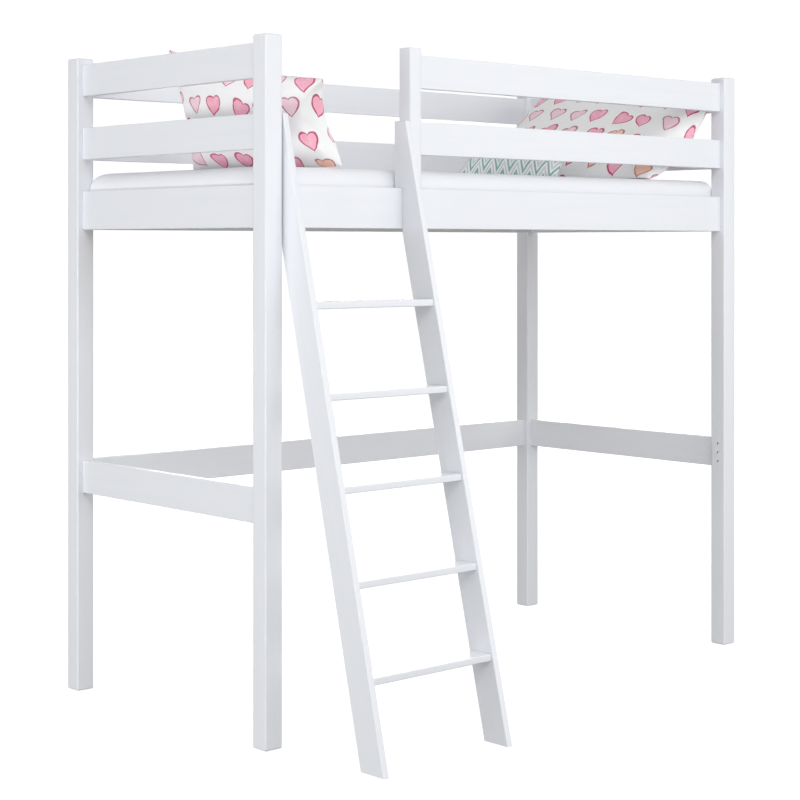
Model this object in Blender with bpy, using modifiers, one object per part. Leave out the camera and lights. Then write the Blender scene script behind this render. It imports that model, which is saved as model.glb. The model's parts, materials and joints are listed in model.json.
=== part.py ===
"""High loft bed with a sloping ladder, modelled as the loose pieces it is assembled from.

Metres, +Z up. +X runs along the bed from the ladder end, +Y from the ladder side to the wall side.
The layout is worked out from the outer bottom corner of the front left post, where x, y and z are 0,
and every object is then moved by ORIGIN, which puts the origin under the middle of the whole bed.
"""

import math

import bmesh
import bpy
from mathutils import Matrix, Vector

# Frame
LENGTH = 2.112  # outside the posts
DEPTH = 1.016  # outside the posts, without the ladder
HEIGHT = 2.000
POST = 0.060  # side of the square posts
PLANK = 0.022  # thickness of every plank and rail
SETBACK = (POST - PLANK) / 2  # planks are centred on the posts
GUARD_WIDTH = 0.100  # height of a guard plank
UPPER_GUARD_Z = 1.880  # undersides of the planks and rails
LOWER_GUARD_Z = 1.680
RAIL_Z = 1.458
RAIL_TOP = 1.580
STRETCHER_Z = 0.626
STRETCHER_TOP = 0.728
POST_ROUND = 0.005
PLANK_ROUND = 0.0025
GAP = 0.0003  # left between pieces that touch

# Ladder
LADDER_REACH = 0.4195  # how far its feet stand before the posts
LEAN = 0.2385  # run of a stringer for each metre of height
STRINGER = 0.020  # thickness of a stringer
STRINGER_RUN = 0.0928  # depth of a stringer, measured level
STRINGER_TOP = 1.780
STRINGER_BACK = 0.053  # how far its head reaches behind the front of the posts
LADDER_LEFT = 0.064  # outer face of the left stringer
LADDER_WIDTH = 0.487  # outside the stringers
TREADS = 5
TREAD_PITCH = 0.250
FIRST_TREAD_TOP = 0.2515
TREAD = 0.020  # thickness of a tread
TREAD_DEPTH = 0.067
TREAD_INSET = 0.006  # from the stringer's front edge to the tread's
HOUSING = 0.006  # how deep a tread's ends sit in the stringers

# Short post beside the way in
GUARD_POST_WIDTH = 0.047
GUARD_POST_DEPTH = 0.050
GUARD_POST_FOOT = 1.506  # its two cheeks reach this far down the rail

# Slatted base and mattress
LEDGER = 0.020
LEDGER_Z = 1.460
LEDGER_TOP = 1.482
SLATS = 13
SLAT_WIDTH = 0.090
SLAT = 0.018
MATTRESS_SPACE = 0.002  # from the mattress to the end planks and the back planks
MATTRESS_FRONT = 0.0575  # it lies behind the heads of the ladder and the guard post
MATTRESS_TOP = 1.638
MATTRESS_ROUND = 0.060

# Cushions, by the corners of their seams: low near, low far, high far, high near
PILLOW_THICKNESS = 0.150
PILLOW_LEFT_CORNERS = (
    (0.352, 0.066, 1.650),
    (0.228, 0.655, 1.650),
    (0.135, 0.655, 2.018),
    (0.256, 0.070, 1.900),
)
PILLOW_RIGHT_CORNERS = (
    (1.710, 0.052, 1.646),
    (1.525, 0.740, 1.652),
    (1.993, 0.815, 1.975),
    (2.047, 0.052, 1.893),
)
SMALL_CUSHION_THICKNESS = 0.090
SMALL_CUSHION_CORNERS = (
    (1.412, 0.205, 1.665),
    (1.268, 0.575, 1.665),
    (1.488, 0.600, 1.775),
    (1.560, 0.215, 1.775),
)
CUSHION_PULL = 0.06  # how far the middle of a side is pulled in, as a share of half the side
CUSHION_SEAM = 0.10  # thickness at the seam, as a share of the thickness in the middle

# Fasteners
CAM_RADIUS = 0.0075
CAM_DEPTH = 0.015
CAM_FROM_END = 0.028
CAM_AXIS_FROM_FACE = 0.0095  # from a rail's inner face to its connector bolts
CONNECTOR_Z = 1.519
SHANK_RADIUS = 0.0032
SCREW_Z = 1.530
GUARD_BOLT_Z = 1.545
CLEARANCE = 0.0004  # round a fastener in its hole
DOWEL_RADIUS = 0.004
DOWEL_SPREAD = 0.031  # from the bolt hole to the dowel holes at a stretcher's end
HOLE_DEPTH = 0.025
SIDES = 16  # facets round a drilled hole

ORIGIN = Vector((-LENGTH / 2, (LADDER_REACH - DEPTH) / 2, 0))
AXES = {"X": Vector((1, 0, 0)), "Y": Vector((0, 1, 0)), "Z": Vector((0, 0, 1))}


def clear_scene():
    for obj in list(bpy.data.objects):
        bpy.data.objects.remove(obj)


def new_collection(name):
    collection = bpy.data.collections.new(name)
    bpy.context.scene.collection.children.link(collection)
    return collection


def new_material(name, colour, roughness, metallic=0.0):
    material = bpy.data.materials.new(name)
    material.use_nodes = True
    shader = material.node_tree.nodes["Principled BSDF"]
    shader.inputs["Base Color"].default_value = (*colour, 1)
    shader.inputs["Roughness"].default_value = roughness
    shader.inputs["Metallic"].default_value = metallic
    return material


def add_object(name, mesh, location, material):
    """One named piece of the bed, at a place given from the front left post's corner."""
    obj = bpy.data.objects.new(name, mesh)
    obj.location = Vector(location) + ORIGIN
    own = material.copy()
    own.name = name
    obj.data.materials.append(own)
    parts.objects.link(obj)
    return obj


def rounded_box(size, radius, along="XYZ", segments=2):
    """A box about its middle. Edges that run along the named axes are rounded."""
    mesh = bpy.data.meshes.new("rounded_box")
    bm = bmesh.new()
    bmesh.ops.create_cube(bm, size=1, matrix=Matrix.Diagonal((*size, 1)))
    edges = []
    for edge in bm.edges:
        direction = (edge.verts[0].co - edge.verts[1].co).normalized()
        if any(abs(direction.dot(AXES[axis])) > 0.9 for axis in along):
            edges.append(edge)
    bmesh.ops.bevel(bm, geom=edges, offset=radius, segments=segments, profile=0.5, affect="EDGES")
    bm.to_mesh(mesh)
    bm.free()
    return mesh


def beam(name, low, high, material, radius=PLANK_ROUND, along="XYZ"):
    """A straight piece of timber between two corners, with the named edges rounded."""
    low = Vector(low)
    high = Vector(high)
    return add_object(name, rounded_box(high - low, radius, along), (low + high) / 2, material)


def cut(obj, cutter):
    cutter.hide_render = True
    cutter.display_type = "WIRE"
    cutters.objects.link(cutter)
    modifier = obj.modifiers.new(cutter.name, "BOOLEAN")
    modifier.operation = "DIFFERENCE"
    modifier.solver = "EXACT"
    modifier.object = cutter


def drill(obj, mouth, direction, radius, depth):
    """Drills a round hole from its mouth. The drill starts a little outside the wood."""
    direction = Vector(direction).normalized()
    lead = 0.004
    mesh = bpy.data.meshes.new("drill")
    bm = bmesh.new()
    bmesh.ops.create_cone(
        bm, cap_ends=True, segments=SIDES, radius1=radius, radius2=radius, depth=depth + lead
    )
    bm.to_mesh(mesh)
    bm.free()
    cutter = bpy.data.objects.new(f"{obj.name}_drill_{len(obj.modifiers)}", mesh)
    cutter.rotation_euler = direction.to_track_quat("Z", "Y").to_euler()
    cutter.location = Vector(mouth) + direction * (depth - lead) / 2 + ORIGIN
    cut(obj, cutter)


def mill(obj, low, high):
    """Cuts a box-shaped recess between two corners."""
    low = Vector(low)
    high = Vector(high)
    mesh = bpy.data.meshes.new("mill")
    bm = bmesh.new()
    bmesh.ops.create_cube(bm, size=1, matrix=Matrix.Diagonal((*(high - low), 1)))
    bm.to_mesh(mesh)
    bm.free()
    cutter = bpy.data.objects.new(f"{obj.name}_mill_{len(obj.modifiers)}", mesh)
    cutter.location = (low + high) / 2 + ORIGIN
    cut(obj, cutter)


def turned(name, profile, mouth, direction, material):
    """A turned piece. The profile lists radius and distance, from the far end to the near one."""
    mesh = bpy.data.meshes.new("profile")
    points = [(radius, 0, along) for radius, along in profile]
    mesh.from_pydata(points, [(n, n + 1) for n in range(len(points) - 1)], [])
    obj = add_object(name, mesh, mouth, material)
    obj.rotation_euler = Vector(direction).to_track_quat("Z", "Y").to_euler()
    spin = obj.modifiers.new("spin", "SCREW")
    spin.steps = SIDES
    spin.render_steps = SIDES
    spin.use_merge_vertices = True
    spin.merge_threshold = 0.00001
    return obj


def make_posts():
    posts = {}
    for end, x in (("left", 0), ("right", LENGTH - POST)):
        for side, y in (("front", 0), ("back", DEPTH - POST)):
            name = f"post_{side}_{end}"
            posts[side, end] = beam(
                name, (x, y, 0), (x + POST, y + POST, HEIGHT), white_paint, POST_ROUND
            )
    return posts


def level_heights():
    """The undersides and tops of the four levels of planks, from the top down."""
    return {
        "upper_guard": (UPPER_GUARD_Z, UPPER_GUARD_Z + GUARD_WIDTH),
        "lower_guard": (LOWER_GUARD_Z, LOWER_GUARD_Z + GUARD_WIDTH),
        "bed_rail": (RAIL_Z, RAIL_TOP),
        "stretcher": (STRETCHER_Z, STRETCHER_TOP),
    }


def make_end_planks():
    y0 = POST + GAP
    y1 = DEPTH - POST - GAP
    for end, x in (("left", SETBACK), ("right", LENGTH - SETBACK - PLANK)):
        for level, (z0, z1) in level_heights().items():
            beam(f"{end}_{level}", (x, y0, z0), (x + PLANK, y1, z1), white_paint, along="Y")


def make_back_planks():
    x0 = POST + GAP
    x1 = LENGTH - POST - GAP
    y = DEPTH - SETBACK - PLANK
    return {
        level: beam(f"back_{level}", (x0, y, z0), (x1, y + PLANK, z1), white_paint, along="X")
        for level, (z0, z1) in level_heights().items()
    }


def make_front_planks():
    """The rail is whole, the guard planks start at the short post, and the way under is open."""
    heights = level_heights()
    x1 = LENGTH - POST - GAP
    starts = {
        "upper_guard": GUARD_POST_RIGHT + GAP,
        "lower_guard": GUARD_POST_RIGHT + GAP,
        "bed_rail": POST + GAP,
    }
    planks = {}
    for level, x0 in starts.items():
        z0, z1 = heights[level]
        low = (x0, SETBACK, z0)
        high = (x1, SETBACK + PLANK, z1)
        planks[level] = beam(f"front_{level}", low, high, white_paint, along="X")
    return planks


def make_guard_post(rail):
    """The short post straddles the rail with two cheeks, which one bolt clamps."""
    middle = SETBACK + PLANK / 2
    y0 = middle - GUARD_POST_DEPTH / 2
    y1 = middle + GUARD_POST_DEPTH / 2
    low = (GUARD_POST_LEFT, y0, GUARD_POST_FOOT)
    high = (GUARD_POST_RIGHT, y1, HEIGHT)
    post = beam("guard_post", low, high, white_paint, POST_ROUND, along="Z")
    slot_low = (GUARD_POST_LEFT - POST, SETBACK - GAP, GUARD_POST_FOOT - POST)
    slot_high = (GUARD_POST_RIGHT + POST, SETBACK + PLANK + GAP, RAIL_TOP + GAP)
    mill(post, slot_low, slot_high)

    x = (GUARD_POST_LEFT + GUARD_POST_RIGHT) / 2
    nut_length = 0.008
    nut_radius = 0.006
    bolt_end = GUARD_POST_DEPTH - 0.002
    for wood in (post, rail):
        drill(wood, (x, y0, GUARD_BOLT_Z), (0, 1, 0), SHANK_RADIUS + CLEARANCE, GUARD_POST_DEPTH)
    drill(post, (x, y1, GUARD_BOLT_Z), (0, -1, 0), nut_radius + CLEARANCE, nut_length + CLEARANCE)
    bolt_profile = [
        (0, bolt_end),
        (SHANK_RADIUS, bolt_end),
        (SHANK_RADIUS, -GAP),
        (0.0075, -GAP),
        (0.0055, -0.0025),
        (0, -0.0033),
    ]
    turned("guard_post_bolt", bolt_profile, (x, y0, GUARD_BOLT_Z), (0, 1, 0), steel)
    bore = SHANK_RADIUS + CLEARANCE
    nut_profile = [(bore, 0), (bore, nut_length), (nut_radius, nut_length), (nut_radius, 0), (bore, 0)]
    turned("guard_post_nut", nut_profile, (x, y1, GUARD_BOLT_Z), (0, -1, 0), steel)


def stringer_front(z):
    return LEAN * z - LADDER_REACH


def stringer_outline():
    """Side view of a stringer as (y, z): its head hooks over the bed rail and its foot is cut level."""
    notch_y = SETBACK - GAP
    notch_z = RAIL_TOP + GAP
    return [
        (stringer_front(0), 0),
        (stringer_front(STRINGER_TOP), STRINGER_TOP),
        (STRINGER_BACK, STRINGER_TOP),
        (STRINGER_BACK, notch_z),
        (notch_y, notch_z),
        (notch_y, min(RAIL_Z, (notch_y + LADDER_REACH - STRINGER_RUN) / LEAN)),
        (stringer_front(0) + STRINGER_RUN, 0),
    ]


def make_stringer(name, x):
    """A board in the shape of the outline, made from a filled curve and then rounded along its edges."""
    curve = bpy.data.curves.new(name + "_outline", "CURVE")
    curve.dimensions = "2D"
    curve.fill_mode = "BOTH"
    curve.extrude = STRINGER / 2
    outline = stringer_outline()
    spline = curve.splines.new("POLY")
    spline.points.add(len(outline) - 1)
    for point, (y, z) in zip(spline.points, outline):
        point.co = (y, z, 0, 1)
    spline.use_cyclic_u = True
    flat = bpy.data.objects.new(name + "_outline", curve)
    bpy.context.scene.collection.objects.link(flat)
    bpy.context.view_layer.update()
    mesh = bpy.data.meshes.new_from_object(flat.evaluated_get(bpy.context.evaluated_depsgraph_get()))
    bpy.data.objects.remove(flat)

    bm = bmesh.new()
    bm.from_mesh(mesh)
    bmesh.ops.remove_doubles(bm, verts=bm.verts, dist=0.00001)
    bmesh.ops.dissolve_limit(bm, angle_limit=0.01, verts=bm.verts, edges=bm.edges)
    # The curve lies in its own plane: its first axis becomes Y, its second Z and its thickness X.
    upright = Matrix(((0, 0, 1), (1, 0, 0), (0, 1, 0)))
    bmesh.ops.transform(bm, matrix=upright.to_4x4(), verts=bm.verts)
    side_edges = [edge for edge in bm.edges if abs(edge.verts[0].co.x - edge.verts[1].co.x) < 0.001]
    bmesh.ops.bevel(bm, geom=side_edges, offset=PLANK_ROUND, segments=2, profile=0.5, affect="EDGES")
    bmesh.ops.recalc_face_normals(bm, faces=bm.faces)
    bm.to_mesh(mesh)
    bm.free()
    return add_object(name, mesh, (x + STRINGER / 2, 0, 0), white_paint)


def make_ladder(rail):
    inner_left = LADDER_LEFT + STRINGER
    inner_right = LADDER_LEFT + LADDER_WIDTH - STRINGER
    stringers = {
        "left": make_stringer("ladder_left_stringer", LADDER_LEFT),
        "right": make_stringer("ladder_right_stringer", inner_right),
    }
    for number in range(TREADS):
        top = FIRST_TREAD_TOP + number * TREAD_PITCH
        front = stringer_front(top) + TREAD_INSET
        low = Vector((inner_left - HOUSING, front, top - TREAD))
        high = Vector((inner_right + HOUSING, front + TREAD_DEPTH, top))
        beam(f"ladder_tread_{number + 1}", low, high, white_paint, along="X")
        fit = Vector((GAP, GAP, GAP))
        for wood in stringers.values():
            mill(wood, low - fit, high + fit)

    inner_face = SETBACK + PLANK
    for end, wood in stringers.items():
        x = (LADDER_LEFT if end == "left" else inner_right) + STRINGER / 2
        hole = SHANK_RADIUS + CLEARANCE
        screw_end = PLANK + 0.038
        drill(rail, (x, inner_face, SCREW_Z), (0, -1, 0), hole, PLANK + POST)
        drill(wood, (x, inner_face, SCREW_Z), (0, -1, 0), hole, screw_end + CLEARANCE)
        profile = [
            (0, screw_end),
            (SHANK_RADIUS, screw_end - 0.008),
            (SHANK_RADIUS, -GAP),
            (0.0055, -GAP),
            (0.0055, -0.0018),
            (0.0035, -0.0032),
            (0, -0.0032),
        ]
        turned(f"ladder_screw_{end}", profile, (x, inner_face, SCREW_Z), (0, -1, 0), steel)


def make_connector(side, end, rail, post, inner_y, out):
    """A connector bolt that screws into the post, and the cam that pulls it into the rail's end."""
    inward = 1 if end == "left" else -1
    face_x = POST if end == "left" else LENGTH - POST
    y = inner_y + out * CAM_AXIS_FROM_FACE
    along = (inward, 0, 0)
    thread = 0.020
    drill(post, (face_x, y, CONNECTOR_Z), (-inward, 0, 0), SHANK_RADIUS + CLEARANCE, thread + CLEARANCE)
    drill(rail, (face_x, y, CONNECTOR_Z), along, SHANK_RADIUS + CLEARANCE, CAM_FROM_END)
    cam_x = face_x + inward * CAM_FROM_END
    mouth = (cam_x, inner_y, CONNECTOR_Z)
    drill(rail, mouth, (0, out, 0), CAM_RADIUS + CLEARANCE, CAM_DEPTH + CLEARANCE)

    head_end = CAM_FROM_END + 0.002
    profile = [
        (0, head_end),
        (SHANK_RADIUS, head_end),
        (SHANK_RADIUS, head_end - 0.0025),
        (0.0022, head_end - 0.0025),
        (0.0022, head_end - 0.009),
        (SHANK_RADIUS, head_end - 0.009),
        (SHANK_RADIUS, 0.002 - thread),
        (0, -thread),
    ]
    turned(f"connector_bolt_{side}_{end}", profile, (face_x, y, CONNECTOR_Z), along, steel)

    disc = [(0, CAM_DEPTH), (CAM_RADIUS, CAM_DEPTH), (CAM_RADIUS, 0.0005), (0, 0.0005)]
    cam = turned(f"connector_cam_{side}_{end}", disc, mouth, (0, out, 0), steel)
    side_x = cam_x - inward * CAM_RADIUS
    drill(cam, (side_x, y, CONNECTOR_Z), along, SHANK_RADIUS + CLEARANCE, CAM_RADIUS + 0.003)


def make_connectors(posts, front_rail, back_rail):
    rails = (
        ("front", front_rail, SETBACK + PLANK, -1),
        ("back", back_rail, DEPTH - SETBACK - PLANK, 1),
    )
    for side, rail, inner_y, out in rails:
        for end in ("left", "right"):
            make_connector(side, end, rail, posts[side, end], inner_y, out)


def drill_spare_stretcher_holes(posts):
    """The front posts are drilled for a stretcher that this bed leaves out: a bolt and two dowels."""
    y = POST / 2
    middle = (STRETCHER_Z + STRETCHER_TOP) / 2
    for end, face_x, direction in (("left", POST, -1), ("right", LENGTH - POST, 1)):
        for offset in (-DOWEL_SPREAD, 0, DOWEL_SPREAD):
            mouth = (face_x, y, middle + offset)
            drill(posts["front", end], mouth, (direction, 0, 0), DOWEL_RADIUS, HOLE_DEPTH)


def make_slatted_base():
    inner = SETBACK + PLANK + GAP
    x0 = POST + GAP
    x1 = LENGTH - POST - GAP
    for side, y in (("front", inner), ("back", DEPTH - inner - LEDGER)):
        low = (x0, y, LEDGER_Z)
        high = (x1, y + LEDGER, LEDGER_TOP)
        beam(f"slat_ledger_{side}", low, high, white_paint, along="X")
    slat_end = inner + 0.003
    clear_of_rails = inner + 0.012
    pitch = (LENGTH - 2 * clear_of_rails - SLAT_WIDTH) / (SLATS - 1)
    for number in range(SLATS):
        x = clear_of_rails + number * pitch
        z = LEDGER_TOP + GAP
        inset = POST + GAP if number in (0, SLATS - 1) else slat_end
        low = (x, inset, z)
        high = (x + SLAT_WIDTH, DEPTH - inset, z + SLAT)
        beam(f"slat_{number + 1:02d}", low, high, pine, 0.002, along="Y")


def make_mattress():
    side = SETBACK + PLANK + MATTRESS_SPACE
    low = Vector((side, MATTRESS_FRONT, LEDGER_TOP + 2 * GAP + SLAT))
    high = Vector((LENGTH - side, DEPTH - side, MATTRESS_TOP))
    mesh = rounded_box(high - low, MATTRESS_ROUND, segments=4)
    add_object("mattress", mesh, (low + high) / 2, ticking)


def cushion_mesh(corners, thickness):
    """A stuffed cushion between four seam corners: low near, low far, high far and high near.

    Its sides and top pull in between the corners, and its middle is fullest.
    """
    low_near, low_far, high_far, high_near = (Vector(corner) for corner in corners)
    mesh = bpy.data.meshes.new("cushion")
    bm = bmesh.new()
    bmesh.ops.create_cube(bm, size=2)
    bmesh.ops.subdivide_edges(bm, edges=bm.edges, cuts=5, use_grid_fill=True)
    for vert in bm.verts:
        u, v, w = vert.co
        u = math.sin(u * math.pi / 2)  # rows crowd towards the seams, which keeps the corners crisp
        v = math.sin(v * math.pi / 2)
        across = (1 + u * (1 - CUSHION_PULL * (1 - v * v))) / 2
        up = (1 + v - max(v, 0) * CUSHION_PULL * (1 - u * u)) / 2
        low = low_near.lerp(low_far, across)
        high = high_near.lerp(high_far, across)
        width = low_far.lerp(high_far, up) - low_near.lerp(high_near, up)
        normal = width.cross(high - low).normalized()
        full = max(0, (1 - u * u) * (1 - v * v)) ** 0.45
        half = thickness / 2 * (CUSHION_SEAM + (1 - CUSHION_SEAM) * full)
        vert.co = low.lerp(high, up) + normal * w * half
    bm.to_mesh(mesh)
    bm.free()
    return mesh


def add_cushion(name, corners, thickness, material):
    obj = add_object(name, cushion_mesh(corners, thickness), (0, 0, 0), material)
    smooth = obj.modifiers.new("smooth", "SUBSURF")
    smooth.levels = 1
    smooth.render_levels = 1


def make_cushions():
    add_cushion("pillow_left", PILLOW_LEFT_CORNERS, PILLOW_THICKNESS, print_cotton)
    add_cushion("pillow_right", PILLOW_RIGHT_CORNERS, PILLOW_THICKNESS, print_cotton)
    add_cushion("cushion_small", SMALL_CUSHION_CORNERS, SMALL_CUSHION_THICKNESS, chevron_cotton)


clear_scene()
parts = new_collection("loft_bed")
cutters = new_collection("loft_bed_cutters")

white_paint = new_material("white_paint", (0.86, 0.87, 0.89), 0.38)
pine = new_material("pine", (0.72, 0.55, 0.36), 0.60)
steel = new_material("zinc_steel", (0.62, 0.63, 0.65), 0.35, metallic=1.0)
ticking = new_material("ticking", (0.90, 0.90, 0.91), 0.90)
print_cotton = new_material("print_cotton", (0.90, 0.78, 0.80), 0.90)
chevron_cotton = new_material("chevron_cotton", (0.62, 0.78, 0.74), 0.90)

GUARD_POST_LEFT = LADDER_LEFT + LADDER_WIDTH + GAP
GUARD_POST_RIGHT = GUARD_POST_LEFT + GUARD_POST_WIDTH

bed_posts = make_posts()
make_end_planks()
back_planks = make_back_planks()
front_planks = make_front_planks()
make_guard_post(front_planks["bed_rail"])
make_ladder(front_planks["bed_rail"])
make_connectors(bed_posts, front_planks["bed_rail"], back_planks["bed_rail"])
drill_spare_stretcher_holes(bed_posts)
make_slatted_base()
make_mattress()
make_cushions()
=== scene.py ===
import json
import math

import bmesh
import bpy
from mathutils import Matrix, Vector, noise


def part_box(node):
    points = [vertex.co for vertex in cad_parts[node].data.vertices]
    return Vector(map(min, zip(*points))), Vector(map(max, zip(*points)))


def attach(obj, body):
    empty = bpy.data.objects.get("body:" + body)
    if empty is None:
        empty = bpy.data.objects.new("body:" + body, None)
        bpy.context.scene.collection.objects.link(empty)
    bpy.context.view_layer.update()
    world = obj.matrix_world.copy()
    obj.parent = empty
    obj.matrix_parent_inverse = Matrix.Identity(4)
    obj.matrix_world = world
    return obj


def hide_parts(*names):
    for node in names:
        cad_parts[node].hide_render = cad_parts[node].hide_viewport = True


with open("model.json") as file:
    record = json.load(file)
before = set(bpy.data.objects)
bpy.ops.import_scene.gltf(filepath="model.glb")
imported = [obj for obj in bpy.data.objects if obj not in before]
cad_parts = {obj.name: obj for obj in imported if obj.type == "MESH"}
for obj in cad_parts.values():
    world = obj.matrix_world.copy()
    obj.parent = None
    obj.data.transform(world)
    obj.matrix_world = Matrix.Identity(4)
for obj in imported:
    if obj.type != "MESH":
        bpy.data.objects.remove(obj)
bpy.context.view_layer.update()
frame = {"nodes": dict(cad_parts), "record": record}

# Camera: the photograph's viewing angle
CAMERA_PLACE = (-4.2716, -4.3743, 1.4099)
CAMERA_TURN = -0.7399  # radians about the vertical
CAMERA_LENS = 83.85  # mm, on Blender's 36 mm sensor
CAMERA_SHIFT = -0.19378  # the picture's centre lies below the level line of sight
CAMERA_REACH = 100  # nothing further away than this is drawn

# Stage
STAGE_RADIUS = 25.0
STAGE_DROP = 0.0005  # the floor lies just under the feet
STAGE_GLOW = 1.02

# Light
ROOM_LIGHT = 0.25
OVERHEAD_LIGHT = 0.27  # more light from straight above
LAMP_AIM = (0, 0, 1.1)
LAMPS = (  # name, place, size, power in watts
    ("key_lamp", (-4.0, -5.0, 5.5), (4.0, 3.0), 151),
    ("front_lamp", (0.0, -4.5, 2.0), (3.0, 2.5), 77),
    ("fill_lamp", (3.5, -4.0, 2.0), (3.0, 3.0), 46),
    ("low_side_lamp", (-6.0, 0.0, 0.3), (4.0, 1.5), 90),
    ("side_lamp", (-4.0, 0.3, 1.8), (2.5, 2.5), 20),
    ("back_lamp", (5.0, 5.5, 2.5), (4.0, 4.0), 280),
)

# Timber. The grain is noise with this many cells a metre, along a board and across it
ARRIS = 0.0007  # the fine rounding left on the ends of the planks
SHARP = math.radians(50)
ALONG_BOARD = 2.2
ACROSS_BOARD = 75.0
STRINGER_LEAN = math.atan(0.2385)  # the ladder's slope, as in the CAD
SAME_POINT = 0.00001  # vertices nearer than this are one

# Cloth
CLOTH_FRAMES = 20
CLOTH_PRESSURE = 4.0
THREAD = 0.0011  # distance between the threads of the cotton
STITCH = 0.0022  # and between the stitches of the mattress cover
CLOTH_SLACK = 0.03  # how much longer the cloth is than the shape that it covers
CLOTH_REACH = 0.011  # no point moves further than this when a cushion is blown up
CLOTH_HELD = 0.070  # up to this height a cushion's own weight holds its cloth down

# Cushions. A side is pulled in between its corners by a share of half its length. The sag is how far
# a leaning cushion's near and far sides bend away from a straight line. An ear of 1.03 makes the upper
# corners stand out 3 % further than in the CAD solid, and a tall print is stretched upwards
PILLOW_LEFT = {
    "thickness": 0.155, "side_pull": 0.08, "top_pull": 0.12, "sag": (0.0, 0.0), "ear": 1.03, "tall": 1.0,
}
PILLOW_RIGHT = {
    "thickness": 0.155, "side_pull": 0.0, "top_pull": 0.06, "sag": (0.040, 0.0), "ear": 1.03, "tall": 1.3,
}
SMALL_CUSHION = {
    "thickness": 0.095, "side_pull": 0.05, "top_pull": 0.06, "sag": (0.0, 0.0), "ear": 1.0, "tall": 1.0,
}
FULLNESS = 0.42  # the lower, the squarer a cushion is in section
PILLOW_CELL = 0.010  # size of the faces
SMALL_CUSHION_CELL = 0.009
LIE_GAP = 0.0015  # between the mattress and what lies on it

# Mattress
FOOT_ROUND = 0.058  # radius of the upper edge at the ladder's end of the bed
HEAD_ROUND = 0.038
ROUND_STEPS = 12
CORNER_ROUND = 0.024  # radius of the corners seen from above
UNDER_ROUND = 0.4  # rounding of the lower edge, as a share of the upper one's
MATTRESS_CELL = 0.020
POST_SPACE = 0.0015
SWELLS = ((4.0, 0.0018, 0), (13.0, 0.0006, 5))  # of the top: swells a metre, height, level of the noise
TOP_SINK = 0.0018  # keeps the swells below the top of the CAD solid

# Heart print. Lengths are shares of the spacing, and a pair is a lowest and a highest value
HEART_SPACING = 0.092
HEART_DRIFT = 0.16  # how far a cell is bent
HEART_SCATTER = 0.18  # how far a heart may lie from where another one does
HEART_MIDDLE = 0.8  # more than 0.5 puts the hearts low in their cells, because their lobes reach up
HEART_SIZES = (0.27, 0.36)
HEART_TILTS = (-0.55, 0.55)  # radians
HEART_LEANS = (-0.25, 0.25)
HEART_LINES = (0.03, 0.17)  # half the outline's width, as a share of the heart's own size
OFF_REGISTER = (0.018, -0.014, 0.0)  # the outline is printed a little beside the fill
PINK_SHARE = 0.52
PEACH_SHARE = 0.20

# Chevron print
CHEVRON_PERIOD = 0.050
CHEVRON_STEEPNESS = 2.2
CHEVRON_PITCH = 0.056
CHEVRON_WOBBLE = 0.006

# Colours, linear
WHITE = (0.865, 0.885, 0.925)
WHITE_IN_GRAIN = (0.85, 0.87, 0.91)
WHITE_CLOUD = (0.86, 0.875, 0.905)
PINE = (0.72, 0.52, 0.31)
PINE_DARK = (0.56, 0.35, 0.18)
PINE_PALE = (0.76, 0.58, 0.37)
ZINC = (0.66, 0.67, 0.70)
ZINC_DARK = (0.50, 0.51, 0.54)
COVER = (0.885, 0.90, 0.93)
COVER_SHADE = (0.85, 0.865, 0.90)
COTTON = (0.99, 0.985, 0.985)
COTTON_SHADE = (0.965, 0.96, 0.965)
PINK = (0.98, 0.45, 0.59)
PALE_PINK = (0.97, 0.70, 0.77)
PEACH = (0.98, 0.60, 0.46)
PINK_LINE = (0.52, 0.035, 0.12)
PALE_LINE = (0.50, 0.12, 0.20)
PEACH_LINE = (0.52, 0.14, 0.10)
WORN_PINK = (0.93, 0.80, 0.82)  # where the printed colour is thin
TEAL = (0.20, 0.44, 0.38)
TEAL_PALE = (0.40, 0.62, 0.56)
CHEVRON_GREY = (0.68, 0.74, 0.73)

SLOT_OF = {part["node"]: part["material_slot"] for part in frame["record"]["subparts"]}


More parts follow.
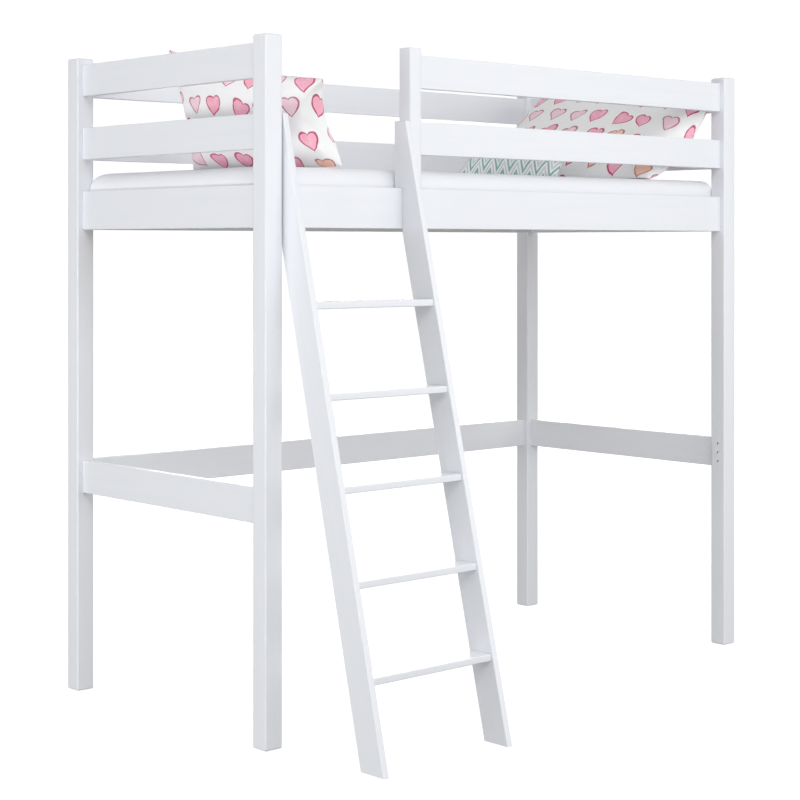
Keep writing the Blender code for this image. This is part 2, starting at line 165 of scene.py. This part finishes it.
class Graph:
    """A material and its node tree, with short ways to add nodes and join them."""

    def __init__(self, name):
        self.material = bpy.data.materials.new(name)
        self.material.use_nodes = True
        self.tree = self.material.node_tree
        self.shader = self.tree.nodes["Principled BSDF"]

    def feed(self, socket, value):
        if isinstance(value, bpy.types.NodeSocket):
            self.tree.links.new(value, socket)
        elif value is not None:
            socket.default_value = value

    def add(self, kind, inputs=None, **settings):
        node = self.tree.nodes.new("ShaderNode" + kind)
        for name, value in settings.items():
            setattr(node, name, value)
        for name, value in (inputs or {}).items():
            self.feed(node.inputs[name], value)
        return node

    def math(self, operation, first, second=None, third=None):
        node = self.add("Math", operation=operation)
        for socket, value in zip(node.inputs, (first, second, third)):
            self.feed(socket, value)
        return node.outputs[0]

    def vector(self, operation, first, second=None):
        node = self.add("VectorMath", operation=operation)
        self.feed(node.inputs[0], first)
        self.feed(node.inputs[1], second)
        return node.outputs[0]

    def mix(self, factor, first, second):
        node = self.add("Mix", data_type="RGBA")
        for socket, value in zip((node.inputs[0], node.inputs[6], node.inputs[7]), (factor, first, second)):
            self.feed(socket, (*value, 1) if isinstance(value, tuple) else value)
        return node.outputs[2]

    def spread(self, value, low, high):
        """Turns a number from 0 to 1 into one from low to high."""
        return self.math("MULTIPLY_ADD", value, high - low, low)

    def steps(self, value, low, high):
        """0 below low, 1 above high, and smooth between."""
        node = self.add("MapRange", {"Value": value}, interpolation_type="SMOOTHSTEP")
        node.inputs["From Min"].default_value = low
        node.inputs["From Max"].default_value = high
        return node.outputs[0]

    def noise(self, place, scale, detail=4.0, roughness=0.55):
        return self.add(
            "TexNoise", {"Vector": place, "Scale": scale, "Detail": detail, "Roughness": roughness}
        ).outputs[0]

    def place(self):
        return self.add("TexCoord").outputs["Object"]

    def bump(self, height, distance, strength=1.0):
        node = self.add("Bump", {"Height": height, "Distance": distance, "Strength": strength})
        self.feed(self.shader.inputs["Normal"], node.outputs[0])

    def finish(self, colour, roughness):
        self.feed(self.shader.inputs["Base Color"], colour)
        self.feed(self.shader.inputs["Roughness"], roughness)
        return self.material


def along_grain(graph, grain, lean=0.0):
    """Coordinates stretched along the grain, shifted so that no two boards look alike."""
    shift = graph.math("MULTIPLY", graph.add("ObjectInfo").outputs["Random"], 9.0)
    apart = graph.add("CombineXYZ", {"X": shift, "Y": shift, "Z": shift}).outputs[0]
    place = graph.place()
    if lean:
        turned = graph.add("VectorRotate", {"Vector": place, "Angle": lean}, rotation_type="X_AXIS")
        place = turned.outputs[0]
    return graph.vector("ADD", graph.vector("MULTIPLY", place, grain), apart)


def painted_wood(name, grain, lean=0.0):
    """Satin white lacquer on pine: the grain and a brush's drag still show faintly through it."""
    graph = Graph(name)
    board = along_grain(graph, grain, lean)
    fibres = graph.noise(board, 1.0, 5.0)
    fine = graph.noise(board, 5.0, 3.0)
    stipple = graph.noise(graph.place(), 900.0, 2.0)
    cloud = graph.noise(graph.place(), 2.5, 2.0)
    shade = graph.mix(graph.steps(fibres, 0.35, 0.70), WHITE, WHITE_IN_GRAIN)
    colour = graph.mix(graph.math("MULTIPLY", cloud, 0.35), shade, WHITE_CLOUD)
    height = graph.math("MULTIPLY_ADD", fine, 0.35, graph.math("MULTIPLY_ADD", stipple, 0.10, fibres))
    graph.bump(height, 0.0004, 0.25)
    return graph.finish(colour, graph.spread(fine, 0.30, 0.46))


def bare_pine(name, grain):
    """Planed pine, with dark rings that run along the board."""
    graph = Graph(name)
    board = along_grain(graph, grain)
    rings = graph.add(
        "TexWave",
        {"Vector": board, "Scale": 1.2, "Distortion": 5.0, "Detail": 3.0, "Detail Scale": 1.4},
        bands_direction="Y",
    ).outputs[1]
    fibres = graph.noise(board, 3.0, 5.0)
    wood = graph.mix(graph.steps(rings, 0.35, 0.95), PINE, PINE_DARK)
    colour = graph.mix(graph.math("MULTIPLY", fibres, 0.5), wood, PINE_PALE)
    graph.bump(graph.math("ADD", fibres, graph.math("MULTIPLY", rings, 0.4)), 0.0005, 0.4)
    return graph.finish(colour, graph.spread(fibres, 0.50, 0.70))


def zinc_steel(name):
    """Bright plated steel with fine scratches."""
    graph = Graph(name)
    drawn = graph.vector("MULTIPLY", graph.place(), (300.0, 2500.0, 300.0))
    scratches = graph.noise(drawn, 1.0, 3.0)
    cloud = graph.noise(graph.place(), 220.0, 2.0)
    graph.shader.inputs["Metallic"].default_value = 1.0
    colour = graph.mix(cloud, ZINC, ZINC_DARK)
    graph.bump(scratches, 0.0001, 0.3)
    return graph.finish(colour, graph.spread(scratches, 0.25, 0.45))


def cloth_shader(graph):
    """What all the cotton shares: a soft sheen and no mirror-like gloss."""
    graph.shader.inputs["Sheen Weight"].default_value = 0.25
    graph.shader.inputs["Sheen Roughness"].default_value = 0.5
    graph.shader.inputs["Specular IOR Level"].default_value = 0.25


def ticking(name):
    """White knitted mattress cover: fine stitches, faint soft hollows."""
    graph = Graph(name)
    cloth_shader(graph)
    place = graph.place()
    stitches = []
    for axis in "XYZ":
        across = graph.add("SeparateXYZ", {"Vector": place}).outputs[axis]
        stitches.append(graph.math("SINE", graph.math("MULTIPLY", across, 2 * math.pi / STITCH)))
    x, y, z = stitches
    knit = graph.math("MULTIPLY", z, x)
    knit = graph.math("MULTIPLY_ADD", y, z, knit)
    knit = graph.math("MULTIPLY_ADD", x, y, knit)
    soft = graph.noise(place, 9.0, 3.0)
    colour = graph.mix(soft, COVER, COVER_SHADE)
    graph.bump(graph.math("MULTIPLY_ADD", knit, 0.12, soft), 0.0012, 0.5)
    return graph.finish(colour, graph.math("MULTIPLY_ADD", knit, 0.03, 0.85))


def weave(graph, cloth):
    """Height of a plain weave, over and under."""
    split = graph.add("SeparateXYZ", {"Vector": cloth})
    across = graph.math("SINE", graph.math("MULTIPLY", split.outputs[0], math.pi / THREAD))
    along = graph.math("SINE", graph.math("MULTIPLY", split.outputs[1], math.pi / THREAD))
    return graph.math("MULTIPLY", across, along)


def cotton(graph, cloth):
    """White cotton with a little variation from yarn to yarn."""
    yarn = graph.noise(graph.vector("MULTIPLY", cloth, (60.0, 900.0, 1.0)), 1.0, 2.0)
    return graph.mix(yarn, COTTON, COTTON_SHADE)


def heart_shape(graph, place, tilt, size, lean):
    """0 in a heart's middle and 1 on its outline.

    An ellipse becomes a heart when it is lifted by the root of the distance from its axis.
    """
    turned = graph.add("VectorRotate", {"Vector": place, "Angle": tilt}, rotation_type="Z_AXIS").outputs[0]
    split = graph.add("SeparateXYZ", {"Vector": turned})
    x = graph.math("DIVIDE", split.outputs[0], size)
    y = graph.math("DIVIDE", split.outputs[1], size)
    y = graph.math("MULTIPLY_ADD", x, lean, y)
    lobes = graph.math("SQRT", graph.math("ABSOLUTE", x))
    rise = graph.math("SUBTRACT", graph.math("MULTIPLY", y, 1.15), graph.math("MULTIPLY", lobes, 0.72))
    squares = graph.math("MULTIPLY_ADD", x, x, graph.math("MULTIPLY", rise, rise))
    return graph.math("SQRT", squares)


def dice(graph, cell, shift):
    """Three numbers from 0 to 1 that each cell has for itself. Another shift gives other numbers."""
    moved = graph.vector("ADD", cell, (shift, shift, 0.0))
    colour = graph.add("TexWhiteNoise", {"Vector": moved}, noise_dimensions="2D").outputs["Color"]
    return graph.add("SeparateColor", {"Color": colour}).outputs


def heart_cells(graph, cloth):
    """Divides the cloth into rows of square cells, each row pushed along by its own amount.

    Gives the cell, and the place within it, which is 0 in the middle.
    """
    scaled = graph.vector("MULTIPLY", cloth, (1 / HEART_SPACING, 1 / HEART_SPACING, 0.0))
    wobble = graph.add("TexNoise", {"Vector": scaled, "Scale": 1.9, "Detail": 0.0}).outputs["Color"]
    drift = graph.vector("SUBTRACT", wobble, (0.5, 0.5, 0.5))
    drift = graph.vector("MULTIPLY", drift, (HEART_DRIFT, HEART_DRIFT, 0.0))
    split = graph.add("SeparateXYZ", {"Vector": graph.vector("ADD", scaled, drift)})
    row = graph.math("FLOOR", split.outputs[1])
    push = graph.add("TexWhiteNoise", {"W": row}, noise_dimensions="1D").outputs["Value"]
    x = graph.math("ADD", split.outputs[0], push)
    column = graph.math("FLOOR", x)
    cell = graph.add("CombineXYZ", {"X": column, "Y": row}).outputs[0]
    place = graph.add("CombineXYZ", {"X": x, "Y": split.outputs[1]}).outputs[0]
    return cell, graph.vector("SUBTRACT", graph.vector("SUBTRACT", place, cell), (0.5, 0.5, 0.0))


def heart_print(name):
    """White cotton printed with loosely drawn hearts in pink, pale pink and peach."""
    graph = Graph(name)
    cloth_shader(graph)
    cloth = graph.add("UVMap", uv_map="cloth").outputs[0]
    cell, place = heart_cells(graph, cloth)
    own = dice(graph, cell, 0.0)
    shift_x, shift_y, _ = dice(graph, cell, 31.0)
    offset = graph.add("CombineXYZ", {"X": shift_x, "Y": shift_y}).outputs[0]
    offset = graph.vector("SUBTRACT", offset, (0.5, HEART_MIDDLE, 0.0))
    offset = graph.vector("MULTIPLY", offset, (HEART_SCATTER, HEART_SCATTER, 0.0))
    local = graph.vector("SUBTRACT", place, offset)
    tilt = graph.spread(own[0], *HEART_TILTS)
    size = graph.spread(own[1], *HEART_SIZES)
    lean = graph.spread(own[2], *HEART_LEANS)
    inside = heart_shape(graph, local, tilt, size, lean)
    drawn = heart_shape(graph, graph.vector("ADD", local, OFF_REGISTER), tilt, size, lean)

    pick = graph.math("FRACT", graph.math("MULTIPLY", graph.math("ADD", own[0], own[2]), 7.3))
    is_pink = graph.math("LESS_THAN", pick, PINK_SHARE)
    is_peach = graph.math("GREATER_THAN", pick, 1 - PEACH_SHARE)
    fill = graph.mix(is_peach, graph.mix(is_pink, PALE_PINK, PINK), PEACH)
    line = graph.mix(is_peach, graph.mix(is_pink, PALE_LINE, PINK_LINE), PEACH_LINE)
    patchy = graph.noise(cloth, 45.0, 2.0)
    worn = graph.math("MULTIPLY", graph.steps(patchy, 0.45, 0.8), 0.5)
    fill = graph.mix(worn, fill, WORN_PINK)

    fill_mask = graph.math("SUBTRACT", 1.0, graph.steps(inside, 0.93, 1.01))
    width = graph.spread(graph.noise(cloth, 60.0, 1.0), *HEART_LINES)
    off_line = graph.math("ABSOLUTE", graph.math("SUBTRACT", drawn, 0.98))
    off_line = graph.math("DIVIDE", off_line, width)
    line_mask = graph.math("SUBTRACT", 1.0, graph.steps(off_line, 0.65, 1.15))
    colour = graph.mix(fill_mask, cotton(graph, cloth), fill)
    colour = graph.mix(graph.math("MULTIPLY", line_mask, 0.9), colour, line)
    graph.bump(weave(graph, cloth), 0.00025, 0.5)
    return graph.finish(colour, 0.88)


def chevron_print(name):
    """White cotton printed with zigzag bands, by turns teal and pale grey."""
    graph = Graph(name)
    cloth_shader(graph)
    cloth = graph.add("UVMap", uv_map="cloth").outputs[0]
    wobble = graph.noise(cloth, 55.0, 2.0)
    split = graph.add("SeparateXYZ", {"Vector": cloth})
    zigzag = graph.math("PINGPONG", split.outputs[0], CHEVRON_PERIOD / 2)
    climb = graph.math("MULTIPLY_ADD", zigzag, CHEVRON_STEEPNESS, split.outputs[1])
    climb = graph.math("MULTIPLY_ADD", wobble, CHEVRON_WOBBLE, climb)
    phase = graph.math("FRACT", graph.math("DIVIDE", climb, CHEVRON_PITCH))
    teal_band = graph.math("ABSOLUTE", graph.math("SUBTRACT", phase, 0.25))
    grey_band = graph.math("ABSOLUTE", graph.math("SUBTRACT", phase, 0.72))
    teal_mask = graph.math("SUBTRACT", 1.0, graph.steps(teal_band, 0.12, 0.16))
    grey_mask = graph.math("SUBTRACT", 1.0, graph.steps(grey_band, 0.09, 0.13))
    brushed = graph.mix(wobble, TEAL, TEAL_PALE)
    colour = graph.mix(teal_mask, cotton(graph, cloth), brushed)
    colour = graph.mix(grey_mask, colour, CHEVRON_GREY)
    graph.bump(weave(graph, cloth), 0.00025, 0.5)
    return graph.finish(colour, 0.88)


def link(name, data):
    obj = bpy.data.objects.new(name, data)
    bpy.context.scene.collection.objects.link(obj)
    return obj


def shade_smooth(mesh, angle):
    """Smooth everywhere but at edges that turn by more than the angle."""
    for face in mesh.polygons:
        face.use_smooth = True
    mesh.set_sharp_from_angle(angle=angle)


def finish_piece(piece, node, body, material):
    """What every visible piece needs: a material and a body. The CAD node that it stands for is hidden."""
    piece.data.materials.append(material)
    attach(piece, body)
    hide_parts(node)


def finer_copy(node, material, arris=ARRIS):
    """A CAD piece with its last hard edges broken and its rounded edges shaded smooth."""
    bm = bmesh.new()
    bm.from_mesh(frame["nodes"][node].data)
    bmesh.ops.remove_doubles(bm, verts=bm.verts, dist=SAME_POINT)
    bmesh.ops.dissolve_limit(bm, angle_limit=0.01, verts=bm.verts, edges=bm.edges)
    hard = [edge for edge in bm.edges if edge.calc_face_angle(0) > SHARP]
    if arris:
        bmesh.ops.bevel(bm, geom=hard, offset=arris, segments=2, profile=0.5, affect="EDGES")
    mesh = bpy.data.meshes.new(node + "_finish")
    bm.to_mesh(mesh)
    bm.free()
    baked = mesh.attributes.get("custom_normal")
    if baked:
        mesh.attributes.remove(baked)
    shade_smooth(mesh, SHARP)
    piece = link(node + "_finish", mesh)
    weighted = piece.modifiers.new("even_faces", "WEIGHTED_NORMAL")
    weighted.keep_sharp = True
    finish_piece(piece, node, "frame", material)


def longest_axis(node):
    low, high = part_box(node)
    size = high - low
    return max(range(3), key=lambda axis: size[axis])


def finish_timber():
    """Every board gets a grain that runs along it. The stringers' grain follows their slope."""
    grains = []
    for along in range(3):
        grains.append(tuple(ALONG_BOARD if axis == along else ACROSS_BOARD for axis in range(3)))
    paints = [painted_wood("white_paint_" + axis, grain) for axis, grain in zip("xyz", grains)]
    sloping_paint = painted_wood("white_paint_ladder", grains[2], STRINGER_LEAN)
    pines = [bare_pine("pine_" + axis, grain) for axis, grain in zip("xyz", grains)]
    for node, slot in SLOT_OF.items():
        if slot == "white_paint":
            paint = sloping_paint if node.endswith("stringer") else paints[longest_axis(node)]
            finer_copy(node, paint)
        elif slot == "pine_slats":
            finer_copy(node, pines[longest_axis(node)])


def finish_steel():
    steel = zinc_steel("zinc_steel")
    for node, slot in SLOT_OF.items():
        if slot == "zinc_steel":
            finer_copy(node, steel, arris=0)


def seam_corners(node):
    """A CAD cushion's corners: low near, low far, high far and high near. Near is the ladder side."""
    low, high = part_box(node)
    points = [vertex.co for vertex in frame["nodes"][node].data.vertices]

    def corner(side, level):
        def reach(point):
            across = (point.y - low.y) / (high.y - low.y)
            up = (point.z - low.z) / (high.z - low.z)
            return side * across + level * up

        return max(points, key=reach).copy()

    return corner(-1, -1), corner(1, -1), corner(1, 1), corner(-1, 1)


def cushion_point(corners, shape, u, v, side):
    """A point on one sheet: u runs from the near seam to the far one, v up, both from -1 to 1."""
    low_near, low_far, high_far, high_near = corners
    across = (1 + u * (1 - shape["side_pull"] * (1 - v * v))) / 2
    up = (1 + v - max(v, 0) * shape["top_pull"] * (1 - u * u)) / 2
    low = low_near.lerp(low_far, across)
    high = high_near.lerp(high_far, across)
    along = low_far.lerp(high_far, up) - low_near.lerp(high_near, up)
    normal = along.cross(high - low).normalized()
    full = max(0, (1 - u * u) * (1 - v * v)) ** FULLNESS
    near_sag, far_sag = shape["sag"]
    sag = near_sag + (far_sag - near_sag) * across
    offset = side * shape["thickness"] / 2 * full + sag * (1 - v * v)
    return low.lerp(high, up) + normal * offset


def cloth_lengths(points, columns, rows, side):
    """Where each point lies on the flat cloth: across from the near seam, and up from the middle row."""
    across = {}
    up = {}
    for j in range(rows + 1):
        run = 0
        for i in range(columns + 1):
            run += (points[i, j] - points[max(i - 1, 0), j]).length
            across[i, j] = side * run
    for i in range(columns + 1):
        rise = 0
        for j in range(rows + 1):
            rise += (points[i, j] - points[i, max(j - 1, 0)]).length
            up[i, j] = rise
    return {(i, j): (across[i, j], up[i, j] - up[i, rows // 2]) for i, j in points}


def cushion_sheets(name, corners, shape, cell):
    """Two sheets of cloth sewn together round their edges, over a filling."""
    low_near, low_far, high_far, high_near = corners
    columns = round(((low_far - low_near).length + (high_far - high_near).length) / 2 / cell)
    rows = round(((high_near - low_near).length + (high_far - low_far).length) / 2 / cell)
    bm = bmesh.new()
    cloth = bm.loops.layers.uv.new("cloth")
    seam = {}
    for side in (1, -1):
        points = {}
        for i in range(columns + 1):
            for j in range(rows + 1):
                u = math.sin((i / columns - 0.5) * math.pi)
                v = math.sin((j / rows - 0.5) * math.pi)
                points[i, j] = cushion_point(corners, shape, u, v, side)
        flat = cloth_lengths(points, columns, rows, side)
        verts = {}
        for key, point in points.items():
            on_seam = key[0] in (0, columns) or key[1] in (0, rows)
            if on_seam and key in seam:
                verts[key] = seam[key]
            else:
                verts[key] = bm.verts.new(point)
            if on_seam:
                seam[key] = verts[key]
        for i in range(columns):
            for j in range(rows):
                ring = [(i, j), (i + 1, j), (i + 1, j + 1), (i, j + 1)]
                if side < 0:
                    ring.reverse()
                face = bm.faces.new([verts[key] for key in ring])
                for loop, key in zip(face.loops, ring):
                    across, up = flat[key]
                    loop[cloth].uv = across, up / shape["tall"]
    mesh = bpy.data.meshes.new(name)
    bm.to_mesh(mesh)
    bm.free()
    return link(name, mesh)


def inflate(piece, lying):
    """Blows the cushion up as cloth, which wrinkles it along its seams. It stays down where it lies."""
    start = [vertex.co.copy() for vertex in piece.data.vertices]
    cloth = piece.modifiers.new("cloth", "CLOTH")
    settings = cloth.settings
    settings.quality = 6
    settings.mass = 0.2
    settings.tension_stiffness = 12
    settings.compression_stiffness = 12
    settings.shear_stiffness = 4
    settings.bending_stiffness = 0.15
    settings.use_pressure = True
    settings.uniform_pressure_force = CLOTH_PRESSURE
    settings.shrink_min = -CLOTH_SLACK
    settings.effector_weights.gravity = 0
    scene = bpy.context.scene
    for number in range(1, CLOTH_FRAMES + 1):
        scene.frame_set(number)
    graph = bpy.context.evaluated_depsgraph_get()
    blown = [vertex.co.copy() for vertex in piece.evaluated_get(graph).data.vertices]
    piece.modifiers.remove(cloth)
    scene.frame_set(1)
    for vertex, was, now in zip(piece.data.vertices, start, blown):
        move = now - was
        if move.length > CLOTH_REACH:
            move *= CLOTH_REACH / move.length
        freedom = min(1, max(0, was.z - lying) / CLOTH_HELD)
        vertex.co = was + move * freedom


def settle(piece, floor):
    """Flattens what would sink into the mattress."""
    for vertex in piece.data.vertices:
        vertex.co.z = max(vertex.co.z, floor)


def add_cushion(node, material, shape, cell):
    """A stuffed cushion in the place of its CAD solid, on its own body and lying on the mattress."""
    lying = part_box("mattress")[1].z + LIE_GAP
    corners = seam_corners(node)
    middle = sum(corners, Vector()) / 4
    low_near, low_far, *high = corners
    low_near.z = low_far.z = lying + LIE_GAP
    corners = [low_near, low_far] + [middle + (corner - middle) * shape["ear"] for corner in high]
    piece = cushion_sheets(node + "_cloth", corners, shape, cell)
    inflate(piece, lying)
    settle(piece, lying)
    shade_smooth(piece.data, math.pi)
    smooth = piece.modifiers.new("smooth", "SUBSURF")
    smooth.levels = 1
    smooth.render_levels = 1
    finish_piece(piece, node, node, material)


def side_steps(length, radius):
    """Distances along a side of the mattress, close together where its edge is rounded."""
    quarter = math.pi / 2 / ROUND_STEPS
    turns = [radius * (1 - math.cos(step * quarter)) for step in range(ROUND_STEPS)]
    spans = round((length - 2 * radius) / MATTRESS_CELL)
    inner = [radius + span * (length - 2 * radius) / spans for span in range(spans + 1)]
    return turns + inner + [length - turn for turn in reversed(turns)]


def round_corner(x, y, low, high):
    """Seen from above, the corners of the mattress are rounded: squares about them become circles."""
    core_x = min(max(x, low.x + CORNER_ROUND), high.x - CORNER_ROUND)
    core_y = min(max(y, low.y + CORNER_ROUND), high.y - CORNER_ROUND)
    out = Vector((x - core_x, y - core_y))
    if out.length:
        out *= max(abs(out.x), abs(out.y)) / out.length
    return core_x + out.x, core_y + out.y


def edge_drop(x, y, low, high):
    """How far the rounded edge lies below the top at this place. It is less round at the head end."""
    share = (x - low.x) / (high.x - low.x)
    radius = FOOT_ROUND + (HEAD_ROUND - FOOT_ROUND) * share
    inside = min(x - low.x, high.x - x, y - low.y, high.y - y)
    left = max(radius - inside, 0)
    return radius - math.sqrt(radius * radius - left * left)


def post_corners():
    """The inner corner of each post, with the two directions towards the mattress."""
    corners = []
    for post in ("post_front_left", "post_back_left", "post_front_right", "post_back_right"):
        low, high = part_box(post)
        toward_x = 1 if low.x < 0 else -1
        toward_y = 1 if post.startswith("post_front") else -1
        face_x = (high.x if toward_x > 0 else low.x) + toward_x * POST_SPACE
        face_y = (high.y if toward_y > 0 else low.y) + toward_y * POST_SPACE
        corners.append((face_x, face_y, toward_x, toward_y))
    return corners


def clear_of_posts(point, corners):
    """The mattress is squeezed in beside the posts: a point inside one moves out by the shortest way."""
    for face_x, face_y, toward_x, toward_y in corners:
        depth_x = toward_x * (face_x - point.x)
        depth_y = toward_y * (face_y - point.y)
        if depth_x > 0 and depth_y > 0:
            if depth_x < depth_y:
                point.x = face_x
            else:
                point.y = face_y


def swell(x, y):
    """How far the top stands above its mean level here."""
    return sum(noise.noise(Vector((x, y, level)) * scale) * height for scale, height, level in SWELLS)


def add_mattress():
    """A soft block with an uneven top, rounded along its edges and squeezed in between the posts."""
    low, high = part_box("mattress")
    xs = [low.x + step for step in side_steps(high.x - low.x, FOOT_ROUND)]
    ys = [low.y + step for step in side_steps(high.y - low.y, FOOT_ROUND)]
    posts = post_corners()
    bm = bmesh.new()
    layers = []
    for is_top in (False, True):
        layer = {}
        for i, x in enumerate(xs):
            for j, y in enumerate(ys):
                drop = edge_drop(x, y, low, high)
                x_round, y_round = round_corner(x, y, low, high)
                if is_top:
                    point = Vector((x_round, y_round, high.z - drop + swell(x, y) - TOP_SINK))
                else:
                    point = Vector((x_round, y_round, low.z + UNDER_ROUND * drop))
                clear_of_posts(point, posts)
                layer[i, j] = bm.verts.new(point)
        layers.append(layer)
    bottom, top = layers
    last = (len(xs) - 1, len(ys) - 1)
    for i in range(last[0]):
        for j in range(last[1]):
            ring = [(i, j), (i + 1, j), (i + 1, j + 1), (i, j + 1)]
            bm.faces.new([top[key] for key in ring])
            bm.faces.new([bottom[key] for key in reversed(ring)])
    rim = [(i, 0) for i in range(last[0])] + [(last[0], j) for j in range(last[1])]
    rim += [(i, last[1]) for i in range(last[0], 0, -1)] + [(0, j) for j in range(last[1], 0, -1)]
    for here, ahead in zip(rim, rim[1:] + rim[:1]):
        bm.faces.new([bottom[here], bottom[ahead], top[ahead], top[here]])
    bmesh.ops.remove_doubles(bm, verts=bm.verts, dist=SAME_POINT)
    mesh = bpy.data.meshes.new("mattress_cover")
    bm.to_mesh(mesh)
    bm.free()
    shade_smooth(mesh, math.pi)
    piece = link("mattress_cover", mesh)
    finish_piece(piece, "mattress", "mattress", ticking("mattress_ticking"))


def add_lamp(name, place, size, power):
    """A soft rectangular lamp, turned towards the bed. It isn't seen itself."""
    light = bpy.data.lights.new(name, "AREA")
    light.shape = "RECTANGLE"
    light.size, light.size_y = size
    light.energy = power
    lamp = link(name, light)
    lamp.visible_camera = False
    lamp.location = place
    lamp.rotation_euler = (Vector(LAMP_AIM) - Vector(place)).to_track_quat("-Z", "Y").to_euler()


def light_studio():
    """A room that is brightest overhead, and large soft lamps round the bed."""
    world = bpy.data.worlds.new("studio")
    world.use_nodes = True
    tree = world.node_tree
    direction = tree.nodes.new("ShaderNodeTexCoord")
    height = tree.nodes.new("ShaderNodeSeparateXYZ")
    overhead = tree.nodes.new("ShaderNodeMath")
    overhead.operation = "MAXIMUM"
    overhead.inputs[1].default_value = 0
    glow = tree.nodes.new("ShaderNodeMath")
    glow.operation = "MULTIPLY_ADD"
    glow.inputs[1].default_value = OVERHEAD_LIGHT
    glow.inputs[2].default_value = ROOM_LIGHT
    background = tree.nodes["Background"]
    background.inputs["Color"].default_value = (1, 1, 1, 1)
    tree.links.new(direction.outputs["Generated"], height.inputs[0])
    tree.links.new(height.outputs["Z"], overhead.inputs[0])
    tree.links.new(overhead.outputs[0], glow.inputs[0])
    tree.links.new(glow.outputs[0], background.inputs["Strength"])
    bpy.context.scene.world = world
    bpy.context.scene.view_settings.view_transform = "Standard"
    for name, place, size, power in LAMPS:
        add_lamp(name, place, size, power)


def plain_white(name):
    """Paper that glows, so that it stays white in every corner of the picture."""
    graph = Graph(name)
    speck = graph.noise(graph.place(), 3.0, 2.0)
    tint = graph.mix(speck, (1.0, 1.0, 1.0), (0.985, 0.985, 0.99))
    graph.feed(graph.shader.inputs["Emission Color"], tint)
    graph.shader.inputs["Emission Strength"].default_value = STAGE_GLOW
    return graph.finish(graph.mix(speck, (0.10, 0.10, 0.10), (0.09, 0.09, 0.09)), 0.9)


def add_stage():
    """A white floor, and a white dome round it. They light nothing: the lamps and the room do that."""
    paper = plain_white("paper_white")
    floor_mesh = bpy.data.meshes.new("floor")
    bm = bmesh.new()
    bmesh.ops.create_grid(bm, x_segments=1, y_segments=1, size=STAGE_RADIUS)
    bm.to_mesh(floor_mesh)
    bm.clear()
    bmesh.ops.create_icosphere(bm, subdivisions=3, radius=STAGE_RADIUS)
    dome_mesh = bpy.data.meshes.new("dome")
    bm.to_mesh(dome_mesh)
    bm.free()
    floor = link("floor", floor_mesh)
    floor.location.z = -STAGE_DROP
    for piece in (floor, link("dome", dome_mesh)):
        piece.data.materials.append(paper)
        piece.visible_diffuse = False
        piece.visible_glossy = False
        piece.visible_transmission = False
        piece.visible_shadow = False


def add_camera():
    lens = bpy.data.cameras.new("camera")
    lens.lens = CAMERA_LENS
    lens.shift_y = CAMERA_SHIFT
    lens.clip_end = CAMERA_REACH
    camera = link("camera", lens)
    camera.location = CAMERA_PLACE
    camera.rotation_euler = (math.pi / 2, 0, CAMERA_TURN)
    bpy.context.scene.camera = camera


add_camera()
light_studio()
add_stage()
finish_timber()
finish_steel()
add_mattress()
heart_cotton = heart_print("heart_print_cotton")
add_cushion("pillow_left", heart_cotton, PILLOW_LEFT, PILLOW_CELL)
add_cushion("pillow_right", heart_cotton, PILLOW_RIGHT, PILLOW_CELL)
chevron_cotton = chevron_print("chevron_print_cotton")
add_cushion("cushion_small", chevron_cotton, SMALL_CUSHION, SMALL_CUSHION_CELL)
